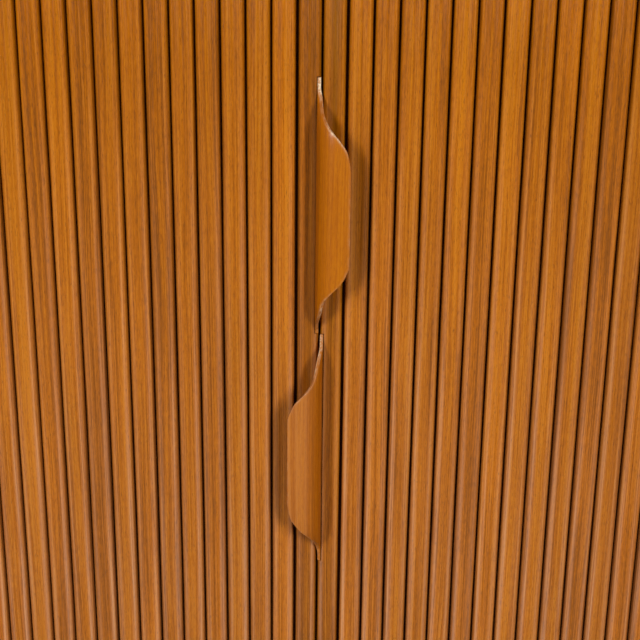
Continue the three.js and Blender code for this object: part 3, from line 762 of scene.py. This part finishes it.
# How many rings each end of a pull has and how they crowd towards the tip, how many its middle has, and how
# many points each face of a ring.
END_RINGS, CROWDING, MIDDLE_RINGS, FACE_POINTS = 70, 1.15, 12, 64


def smooth_table(table, places):
    """A smooth curve through a table of places and values: between two entries, a cubic whose slope at each
    one is that of the line between its neighbours, limited so that the curve never turns back."""
    x, y = table[:, 0], table[:, 1]
    slopes = np.diff(y) / np.diff(x)
    tangents = np.zeros_like(y)
    tangents[0] = slopes[0]
    tangents[1:-1] = 2 * slopes[:-1] * slopes[1:] / (slopes[:-1] + slopes[1:])
    k = np.clip(np.searchsorted(x, places) - 1, 0, len(x) - 2)
    width = x[k + 1] - x[k]
    t = (places - x[k]) / width
    return (
        (2 * t**3 - 3 * t**2 + 1) * y[k]
        + (t**3 - 2 * t**2 + t) * width * tangents[k]
        + (3 * t**2 - 2 * t**3) * y[k + 1]
        + (t**3 - t**2) * width * tangents[k + 1]
    )


def towards_ends(along, whole, sizes, outer_table, inner_table):
    """The share at places along a pull, from its outer end: the less of what the two ends' tables give."""
    outer = np.clip(along / sizes.outer_end, 0, 1)
    inner = np.clip((whole - along) / sizes.inner_end, 0, 1)
    return np.minimum(smooth_table(outer_table, outer), smooth_table(inner_table, inner))


def bent(across, depth, riser, radius):
    """Where points of the blank land once it is bent: up the riser, round a quarter circle, and along the
    lip. Across is measured from the slat's face on the outer side, depth towards the inner side."""
    quarter = radius * np.pi / 2
    angle = np.clip((across - riser) / radius, 0, np.pi / 2)
    reach = radius - (radius - depth) * np.cos(angle) + np.maximum(across - riser - quarter, 0)
    proud = np.minimum(across, riser) + (radius - depth) * np.sin(angle)
    return reach, proud


def pull_parts(sizes, wear_and_highlight_shares):
    """The upper pull's rings, the places of its points in the wood, how worn and painted with highlight each
    point is, and how far each one is on its way from the riser's foot to the lip."""
    low, high = span("left_pull")
    thick, riser = sizes.thickness, DOOR_FACE - low[1] - sizes.bend
    root = high[1] - DOOR_FACE
    full = riser + sizes.bend * np.pi / 2 + (high[0] - low[0]) - sizes.bend
    whole = high[2] - low[2]
    from_tip = np.linspace(0, 1, END_RINGS) ** CROWDING
    between = np.linspace(sizes.outer_end, whole - sizes.inner_end, MIDDLE_RINGS)[1:-1]
    along = np.concatenate([from_tip * sizes.outer_end, between, whole - from_tip[::-1] * sizes.inner_end])
    width = towards_ends(along, whole, sizes, OUTER_SHARES, INNER_SHARES)[:, None]
    width = sizes.tip_rise + width * (full - sizes.tip_rise)
    height = towards_ends(along, whole, sizes, OUTER_HEIGHT_SHARES, INNER_HEIGHT_SHARES)[:, None]
    edge = sizes.edge
    turn = np.radians(np.linspace(0, 90, 6))
    flat_across = np.linspace(0, 1, FACE_POINTS)[None, :] * (width + root - edge) - root
    nose_out = width - edge + edge * np.sin(turn)[None, :]
    nose_in = width - edge + edge * np.cos(turn)[None, :]
    across = np.concatenate([flat_across[:, :-1], nose_out, nose_in, flat_across[:, -2::-1]], axis=1)
    outer = np.zeros(FACE_POINTS - 1)
    nose = [edge * (1 - np.cos(turn)), thick - edge * (1 - np.sin(turn))]
    depth = np.concatenate([outer, *nose, outer + thick])
    depth = np.repeat(depth[None, :], len(along), axis=0)
    reach, proud = bent(across, depth, riser, sizes.bend)
    proud = np.where(proud > 0, proud * height, proud)
    down = np.repeat(along[:, None], across.shape[1], axis=1)
    rings = np.stack([low[0] + reach, DOOR_FACE - proud, high[2] - down], axis=-1)
    from_edge = np.maximum(width - edge - across, 0)
    share = along[:, None] / whole
    # Wear along the edges, with painted highlight where the edges catch the light.
    rubbed_and_lit = sum(bare_and_lit * bell(share - place, spread) for place, spread, bare_and_lit in wear_and_highlight_shares)
    inwards = LEAST_WEAR_AND_HIGHLIGHT_SHARE + (1 - LEAST_WEAR_AND_HIGHLIGHT_SHARE) * depth / thick
    wear = bell(from_edge, sizes.wear_and_highlight_width) * np.clip(rubbed_and_lit, 0, 1) * inwards
    places = np.stack([across, depth, -down], axis=-1) / MM
    # Where the painted sheen on the lip lies.
    onto_lip = np.clip((across - riser - sizes.bend / 3) / sizes.bend, 0, 1) ** 2
    return rings, places, wear, onto_lip


class CABINET_OT_pulls(bpy.types.Operator):
    """Makes the two formed pulls, the lower one turned half round from the upper"""

    bl_idname = "cabinet.pulls"
    bl_label = "Formed pulls"

    def execute(self, context):
        random = np.random.default_rng(SEEDS["pulls"])
        for side in SIDES:
            rings, places, wear, onto_lip = pull_parts(context.scene.cabinet_pulls, WEAR_AND_HIGHLIGHT_SHARES[side])
            shape = rings.copy()
            if side == "right":
                shape[..., 0] = -rings[..., 0]
                shape[..., 2] = 2 * PULL_LEVEL - rings[..., 2]
            home = (side + "_door", "pull_teak", side + "_pull")
            looks = {"places": places, "sharp": 50.0, "wear": wear, "fade": LIP_SHEEN_SHARES[side] * onto_lip}
            make_piece(side + "_pull_wood", [shape], wood("pull"), home, random, TONE_SHARE, **looks)
        return {"FINISHED"}


def reeded_rings(node, sizes):
    """An end panel's rings from bottom to top: reeds of the slats' section, with a saw kerf between them."""
    low, high = span(node)
    count = round((high[0] - low[0]) / sizes.pitch)
    thickness = high[1] - low[1]
    half = np.array([(sizes.pitch - sizes.kerf) / 2])
    reed = slat_face(half, np.array([sizes.arris]), np.array([sizes.hollow]))[0]
    kerf = np.array([[half[0], sizes.kerf_depth]])
    one = np.concatenate([kerf * [-1, 1], reed, kerf])
    middle = (low[0] + high[0]) / 2
    centres = middle + (np.arange(count) - (count - 1) / 2) * sizes.pitch
    front = np.tile(one, (count, 1))
    front[:, 0] += np.repeat(centres, len(one))
    front[:, 0] = np.clip(front[:, 0], low[0], high[0])
    back = np.array([[high[0], thickness], [low[0], thickness]])
    outline = np.concatenate([front[1:-1], back]) + [0, low[1]]
    return lifted(outline, np.linspace(low[2], high[2], PANEL_RINGS))


class CABINET_OT_end_panels(bpy.types.Operator):
    """Makes the two reeded end panels that the doors slide behind"""

    bl_idname = "cabinet.end_panels"
    bl_label = "Reeded end panels"

    def execute(self, context):
        random = np.random.default_rng(SEEDS["end panels"])
        for side in SIDES:
            node = side + "_end_panel"
            rings = reeded_rings(node, context.scene.cabinet_tambour)
            # Painted light and painted sheen, both growing downwards.
            light, lower_sheen = low_down(rings)[1:]
            looks = {"light": light, "fade": PANEL_SHEEN_SHARE * lower_sheen}
            home = ("case", "slat_teak", node)
            make_piece(side + "_reeded_panel", [rings], wood("slat"), home, random, TONE_SHARE, **looks)
        return {"FINISHED"}


def eased_ends(low, high, radius):
    """Places along a piece, and how far its outline draws in at each: over each end's last radius, by a
    quarter round."""
    turn = np.radians(np.linspace(0, 90, EASE_POINTS))
    inset = radius * (1 - np.sin(turn))
    step = radius * (1 - np.cos(turn))
    return np.concatenate([low + step, high - step[::-1]]), np.concatenate([inset, inset[::-1]])


# How much of its full inset a board's end draws in, so that its last corners keep a little size.
INSET_SHARE = 0.98


def board_rings(low, high, axis, radius):
    """A board as rings along an axis, with every edge eased: the section is a rectangle with quarter-round
    corners, and over each end's last radius it draws in by the same quarter round."""
    others = [k for k in range(3) if k != axis]
    half = (high - low)[others] / 2
    middle = (high + low)[others] / 2
    places, inset = eased_ends(low[axis], high[axis], radius)
    drawn = INSET_SHARE * inset
    corner = np.radians(np.linspace(0, 90, EASE_POINTS))
    angles = np.concatenate([corner + np.pi / 2 * k for k in range(4)])
    signs = np.repeat(np.array([(1, 1), (-1, 1), (-1, -1), (1, -1)]), EASE_POINTS, axis=0)
    around = (radius - drawn)[:, None, None] * np.stack([np.cos(angles), np.sin(angles)], axis=1)[None]
    section = middle + signs[None] * (half - radius) + around
    rings = np.empty((len(places), len(angles), 3))
    rings[..., others] = section
    rings[..., axis] = places[:, None]
    return rings


def mitred_rings(section, half_at_face, axis, flip):
    """A case board as two rings, mitred at both ends: a point as deep in the board as t lies t further out.
    The section gives depth through the case and t, which counts outwards from the board's inner face."""
    reach = half_at_face + section[:, 1]
    rings = np.empty((2, len(section), 3))
    rings[..., 1] = section[:, 0]
    for k, sign in enumerate((-1, 1)):
        rings[k, :, axis] = sign * reach
        rings[k, :, 2 - axis] = section[:, 1] * flip
    return rings


def case_section(sizes, grooved):
    """A case board's section: eased front edges, the doors' groove where there is one, and the back's
    rebate."""
    thickness = INNER_BOTTOM - CASE_LOW[2]
    groove_middle = (DOOR_FACE + SLAT_BACK) / 2
    front, back = CASE_LOW[1], CASE_HIGH[1]
    corners = [(front, 0.0, sizes.inner_edge)]
    if grooved:
        near, far = groove_middle - sizes.groove / 2, groove_middle + sizes.groove / 2
        depth = sizes.groove_depth
        corners += [(near, 0.0, 0), (near, depth, 0), (far, depth, 0), (far, 0.0, 0)]
    corners += [(BACK_FRONT, 0.0, 0), (BACK_FRONT, BACK_REBATE, 0), (back, BACK_REBATE, 0)]
    corners += [(back, thickness, sizes.inner_edge), (front, thickness, sizes.outer_edge)]
    return rounded_loop([c[:2] for c in corners], [c[2] for c in corners])


def turned_rings(centre, axis, places, radii, sides):
    """A turned piece as rings: circles of the radii given, round a line through the centre along an axis."""
    turn = np.linspace(0, 2 * np.pi, sides, endpoint=False)
    others = [k for k in range(3) if k != axis]
    rings = np.empty((len(places), sides, 3))
    rings[..., axis] = np.asarray(places)[:, None]
    for other, wave in zip(others, (np.cos(turn), np.sin(turn))):
        rings[..., other] = centre[other] + np.asarray(radii)[:, None] * wave
    return rings


def drill(piece, places, radius, depth):
    """Drills round holes across the board, from its inner face at each of the places. The drill starts a
    tenth of the depth before the face."""
    points, faces = [], []
    for place in places:
        outward = np.sign(place[0])
        ends = (place[0] - outward * depth / 10, place[0] + outward * depth)
        rings = turned_rings(place, 0, ends[:: int(-outward)], (radius, radius), HOLE_SIDES)
        faces += ring_faces(2, HOLE_SIDES, start=len(points) * 2 * HOLE_SIDES)
        points.append(rings.reshape(-1, 3))
    mesh = bpy.data.meshes.new("drill")
    mesh.from_pydata(np.concatenate(points).tolist(), [], faces)
    tool = linked("drill", mesh)
    cut = piece.modifiers.new("pin holes", "BOOLEAN")
    cut.object = tool
    cut.solver = "EXACT"
    bpy.context.view_layer.objects.active = piece
    bpy.ops.object.modifier_apply(modifier=cut.name)
    bpy.data.objects.remove(tool)


class CABINET_OT_case(bpy.types.Operator):
    """Makes the top, the bottom and the two sides, mitred at the corners"""

    bl_idname = "cabinet.case"
    bl_label = "Case boards"

    def execute(self, context):
        sizes = context.scene.cabinet_case
        random = np.random.default_rng(SEEDS["case"])
        for name, level, way in (("top", INNER_TOP, 1), ("bottom", INNER_BOTTOM, -1)):
            rings = mitred_rings(case_section(sizes, True), INNER_HALF - sizes.mitre_gap, 0, way)
            rings[..., 2] += level
            home = ("case", "case_teak", name + "_panel")
            make_piece(name + "_board", [rings], wood("case"), home, random, order=(1, 2, 0))
        middle = (INNER_TOP + INNER_BOTTOM) / 2
        half = (INNER_TOP - INNER_BOTTOM) / 2
        pins = sorted(n for n in BODIES["case"] if n.endswith("shelf_pin"))
        for side, way in SIDES.items():
            rings = mitred_rings(case_section(sizes, False), half, 2, way)
            rings[..., 2] += middle
            rings[..., 0] += way * INNER_HALF
            home = ("case", "case_teak", side + "_side_panel")
            piece = make_piece(side + "_side", [rings], wood("case"), home, random, order=(1, 0, 2))
            holes = []
            for pin in (n for n in pins if n.startswith(side)):
                low, high = span(pin)
                centre = (low + high) / 2
                for row in range(-2, 3):
                    level = centre[2] + row * sizes.pin_hole_pitch
                    holes.append((way * INNER_HALF, centre[1], level))
            drill(piece, holes, sizes.pin_hole, sizes.pin_hole_depth)
        return {"FINISHED"}


# The small hole that is closed at a turned piece's end, as a share of its radius.
POLE_SHARE = 0.02


class CABINET_OT_inside(bpy.types.Operator):
    """Makes the back, the pocket liners, the shelves and the shelf pins"""

    bl_idname = "cabinet.inside"
    bl_label = "Back, liners and shelves"

    def execute(self, context):
        sizes = context.scene.cabinet_case
        random = np.random.default_rng(SEEDS["inside"])
        ply = (2, (0, 1, 2), sizes.thin_edge, wood("ply"), "teak_plywood")
        veneered = (0, (1, 2, 0), sizes.shelf_edge, wood("case"), "case_teak")
        boards = {node: ply for node in ("back_panel", "left_pocket_liner", "right_pocket_liner")}
        boards.update({node: veneered for node in ("fixed_shelf", "adjustable_shelf")})
        for node, (axis, order, radius, material, slot) in boards.items():
            low, high = span(node)
            if node != "back_panel":
                low[0] = max(low[0], -INNER_HALF + sizes.mitre_gap)
                high[0] = min(high[0], INNER_HALF - sizes.mitre_gap)
                low[2] = max(low[2], INNER_BOTTOM + sizes.mitre_gap)
                high[2] = min(high[2], INNER_TOP - sizes.mitre_gap)
            rings = board_rings(low, high, axis, radius)
            make_piece(node + "_board", [rings], material, ("case", slot, node), random, order=order)
        brass = turned_brass()
        for node in (n for n in BODIES["case"] if n.endswith("shelf_pin")):
            low, high = span(node)
            radius = (high[2] - low[2]) / 2
            places, inset = eased_ends(low[0], high[0], radius / 4)
            places = np.concatenate([low[:1], places, high[:1]])
            radii = np.concatenate([[POLE_SHARE * radius], radius - inset, [POLE_SHARE * radius]])
            rings = turned_rings((low + high) / 2, 0, places, radii, PIN_SIDES)
            make_piece(node + "_brass", [rings], brass, ("case", "pin_brass", node), order=(1, 2, 0))
        return {"FINISHED"}


# A leg's turned part in shares of its height: where its taper ends, its neck's rings, and its bead's middle
# and half height.
TAPER_SHARE, BEAD_SHARE, HALF_BEAD_SHARE = 0.86, 0.965, 0.035
NECK_SHARES = (0.88, 0.9, 0.92)
# How far a leg's taper swells, the eased edge at its foot, and the radius where its ends are closed.
LEG_SWELL, FOOT_EASE, LEG_POLE = 0.9 * MM, 2 * MM, 0.3 * MM
# Where the eased edge's middle lies, in shares of it: inwards and up. And how far round the bead's circle
# goes each way, in degrees.
EASE_IN_SHARE, EASE_UP_SHARE, BEAD_TURN = 0.35, 0.3, 70


def leg_profile(height, sizes):
    """A leg's radius at each level of its turned part: a taper that swells by a sine, a neck, and a bead
    whose outline is part of a circle."""
    taper = np.linspace(0, 1, TAPER_RINGS)
    swell = sizes.foot + (sizes.neck - sizes.foot) * taper + LEG_SWELL * np.sin(np.pi * taper)
    rise = FOOT_EASE + (TAPER_SHARE * height - FOOT_EASE) * taper
    bead = np.radians(np.linspace(-BEAD_TURN, BEAD_TURN, BEAD_RINGS))
    bead_levels = BEAD_SHARE * height + HALF_BEAD_SHARE * height * np.sin(bead)
    bead_radii = sizes.neck + (sizes.shoulder - sizes.neck) * np.cos(bead)
    foot_radii = [LEG_POLE, sizes.foot - FOOT_EASE, sizes.foot - EASE_IN_SHARE * FOOT_EASE]
    neck_levels = np.multiply(NECK_SHARES, height)
    levels = [[0.0, 0.0, EASE_UP_SHARE * FOOT_EASE], rise, neck_levels, bead_levels, [height, height]]
    radii = [foot_radii, swell, np.full(len(NECK_SHARES), sizes.neck), bead_radii, [sizes.neck, LEG_POLE]]
    return np.concatenate(levels), np.concatenate(radii)


class CABINET_OT_base(bpy.types.Operator):
    """Makes the four turned legs and the four rails between them"""

    bl_idname = "cabinet.base"
    bl_label = "Legs and rails"

    def execute(self, context):
        sizes = context.scene.cabinet_case
        random = np.random.default_rng(SEEDS["base"])
        for node in (n for n in BODIES["case"] if n.endswith("_leg")):
            low, high = span(node)
            head_bottom = high[2] - sizes.head
            levels, radii = leg_profile(head_bottom, sizes)
            turned = turned_rings((low + high) / 2, 2, levels, radii, LEG_SIDES)
            head_low = np.array([low[0], low[1], head_bottom])
            head = board_rings(head_low, high, 2, sizes.outer_edge)
            home = ("case", "base_teak", node)
            make_piece(node + "_wood", [turned, head], wood("case"), home, random, TONE_SHARE)
        reach = (span("left_front_leg")[1] - span("left_front_leg")[0])[0]
        for node in ("front_rail", "rear_rail", "left_rail", "right_rail"):
            low, high = span(node)
            axis = 0 if high[0] - low[0] > high[1] - low[1] else 1
            ends = ("left_front_leg", "right_front_leg" if axis == 0 else "left_rear_leg")
            low[axis] = span(ends[0])[0][axis] + reach + sizes.mitre_gap
            high[axis] = span(ends[1])[1][axis] - reach - sizes.mitre_gap
            rings = board_rings(low, high, axis, sizes.thin_edge)
            home = ("case", "base_teak", node)
            make_piece(node + "_wood", [rings], wood("case"), home, random, order=(2, 1 - axis, axis))
        return {"FINISHED"}


def shown(tree, mirrored):
    """How far the stage shows its pale colour: wholly to the camera and through glass, and in part in
    gloss."""
    path = add(tree, "LightPath").node.outputs
    plain = add(tree, "Math", (path["Is Camera Ray"], path["Is Transmission Ray"]), operation="MAXIMUM")
    return add(tree, "Math", (path["Is Glossy Ray"], mirrored, plain), operation="MULTIPLY_ADD")


# How dark the floor's faint clouds are.
CLOUD_SHADE_SHARE = 0.97


def make_floor(finishes, sizes):
    """A pale, dull floor under the cabinet, large enough to fill any view. It throws little light back, and
    where the stage is seen it turns into the backdrop's colour with the distance from the cabinet."""
    half = sizes.floor_half
    black = (0.0, 0.0, 0.0, 1.0)
    mesh = bpy.data.meshes.new("floor")
    corners = [(x * half, y * half, 0) for x, y in ((-1, -1), (1, -1), (1, 1), (-1, 1))]
    mesh.from_pydata(corners, [], [(0, 1, 2, 3)])
    material, tree = new_material("pale matt floor")
    place = add(tree, "TexCoord", output="Object")
    cloud = add(tree, "TexNoise", {"Vector": place, "Scale": 3.0})
    darker = [c * CLOUD_SHADE_SHARE for c in finishes.floor[:3]] + [1.0]
    pale = add(tree, "Mix", {0: cloud, 6: finishes.floor, 7: darker}, 2, data_type="RGBA")
    seen = shown(tree, sizes.mirrored)
    distance = add(tree, "VectorMath", (place,), "Value", operation="LENGTH")
    far = add(tree, "MapRange", (distance, sizes.shadow_reach, sizes.faded_out))
    far_seen = add(tree, "Math", (far, seen), operation="MULTIPLY")
    near = add(tree, "Mix", {0: seen, 6: finishes.bounce, 7: pale}, 2, data_type="RGBA")
    inputs = {
        "Base Color": add(tree, "Mix", {0: far_seen, 6: near, 7: black}, 2, data_type="RGBA"),
        "Emission Color": finishes.backdrop,
        "Emission Strength": far_seen,
        "Roughness": 0.7,
    }
    add(tree, "OutputMaterial", {"Surface": add(tree, "BsdfPrincipled", inputs)})
    mesh.materials.append(material)
    floor = linked("floor", mesh)


def make_world(strength, backdrop, mirrored):
    """A faint even light all round. The camera sees the backdrop's colour in its place."""
    world = bpy.data.worlds.new("studio")
    world.use_nodes = True
    tree = world.node_tree
    tree.nodes.clear()
    even = (strength, strength, strength, 1.0)
    seen = add(tree, "Mix", {0: shown(tree, mirrored), 6: even, 7: backdrop}, 2, data_type="RGBA")
    add(tree, "OutputWorld", {"Surface": add(tree, "Background", {"Color": seen})})
    bpy.context.scene.world = world


def make_lamp(name, aside, up, power, sizes):
    """A soft rectangular lamp aimed at the pulls, at angles to one side of the front and up."""
    direction = Vector((np.sin(aside) * np.cos(up), -np.cos(aside) * np.cos(up), np.sin(up)))
    light = bpy.data.lights.new(name, "AREA")
    light.energy = power
    light.shape = "RECTANGLE"
    light.size = sizes.lamp_width
    light.size_y = sizes.lamp_height
    lamp = linked(name, light)
    lamp.location = Vector((0, DOOR_FACE, PULL_LEVEL)) + direction * sizes.lamp_distance
    lamp.rotation_euler = direction.to_track_quat("Z", "Y").to_euler()


class CABINET_OT_stage(bpy.types.Operator):
    """Makes the floor, the even light, the four soft lamps and the camera"""

    bl_idname = "cabinet.stage"
    bl_label = "Stage"

    def execute(self, context):
        scene = context.scene
        sizes = scene.cabinet_stage
        make_floor(scene.cabinet_finishes, sizes)
        make_world(sizes.fill, scene.cabinet_finishes.backdrop, sizes.mirrored)
        for name, way in SIDES.items():
            aside = sizes.lamp_side * way
            make_lamp(name + " front lamp", aside, sizes.lamp_up, getattr(sizes, name + "_power"), sizes)
            make_lamp(name + " rear lamp", np.pi - aside, 2 * sizes.lamp_up, sizes.rear_power, sizes)
        camera_data = bpy.data.cameras.new("camera")
        camera_data.lens = sizes.lens
        camera = linked("camera", camera_data)
        turn, down, roll = sizes.camera_turn, sizes.camera_down, sizes.camera_roll
        forward = Vector((-np.sin(turn) * np.cos(down), np.cos(turn) * np.cos(down), -np.sin(down)))
        aside = Vector((np.cos(turn), np.sin(turn), 0))
        level_up = aside.cross(forward)
        right = aside * np.cos(roll) + level_up * np.sin(roll)
        upward = level_up * np.cos(roll) - aside * np.sin(roll)
        axes = Matrix((right, upward, -forward)).transposed()
        height = PULL_LEVEL + sizes.camera_height
        place = Vector((sizes.camera_side, DOOR_FACE - sizes.camera_distance, height))
        camera.matrix_world = Matrix.Translation(place) @ axes.to_4x4()
        scene.camera = camera
        scene.view_settings.view_transform = "Standard"
        return {"FINISHED"}


class CABINET_PT_panel(bpy.types.Panel):
    """Lists the pieces that can be made"""

    bl_idname = "CABINET_PT_panel"
    bl_label = "Tambour cabinet"
    bl_space_type = "VIEW_3D"
    bl_region_type = "UI"
    bl_category = "Cabinet"

    def draw(self, context):
        for operator in OPERATORS:
            self.layout.operator(operator.bl_idname)


GROUPS = {
    "cabinet_tambour": TambourSizes,
    "cabinet_pulls": PullSizes,
    "cabinet_case": CaseSizes,
    "cabinet_finishes": Finishes,
    "cabinet_stage": StageSizes,
}
OPERATORS = (
    CABINET_OT_stage,
    CABINET_OT_slats,
    CABINET_OT_canvas,
    CABINET_OT_pulls,
    CABINET_OT_end_panels,
    CABINET_OT_case,
    CABINET_OT_inside,
    CABINET_OT_base,
)
CLASSES = (*GROUPS.values(), *OPERATORS, CABINET_PT_panel)


def register():
    for each in CLASSES:
        bpy.utils.register_class(each)
    for name, group in GROUPS.items():
        setattr(bpy.types.Scene, name, PointerProperty(type=group))


def unregister():
    for name in GROUPS:
        delattr(bpy.types.Scene, name)
    for each in reversed(CLASSES):
        bpy.utils.unregister_class(each)


def main():
    register()
    for operator in OPERATORS:
        module, name = operator.bl_idname.split(".")
        getattr(getattr(bpy.ops, module), name)()


if __name__ == "__main__":
    main()
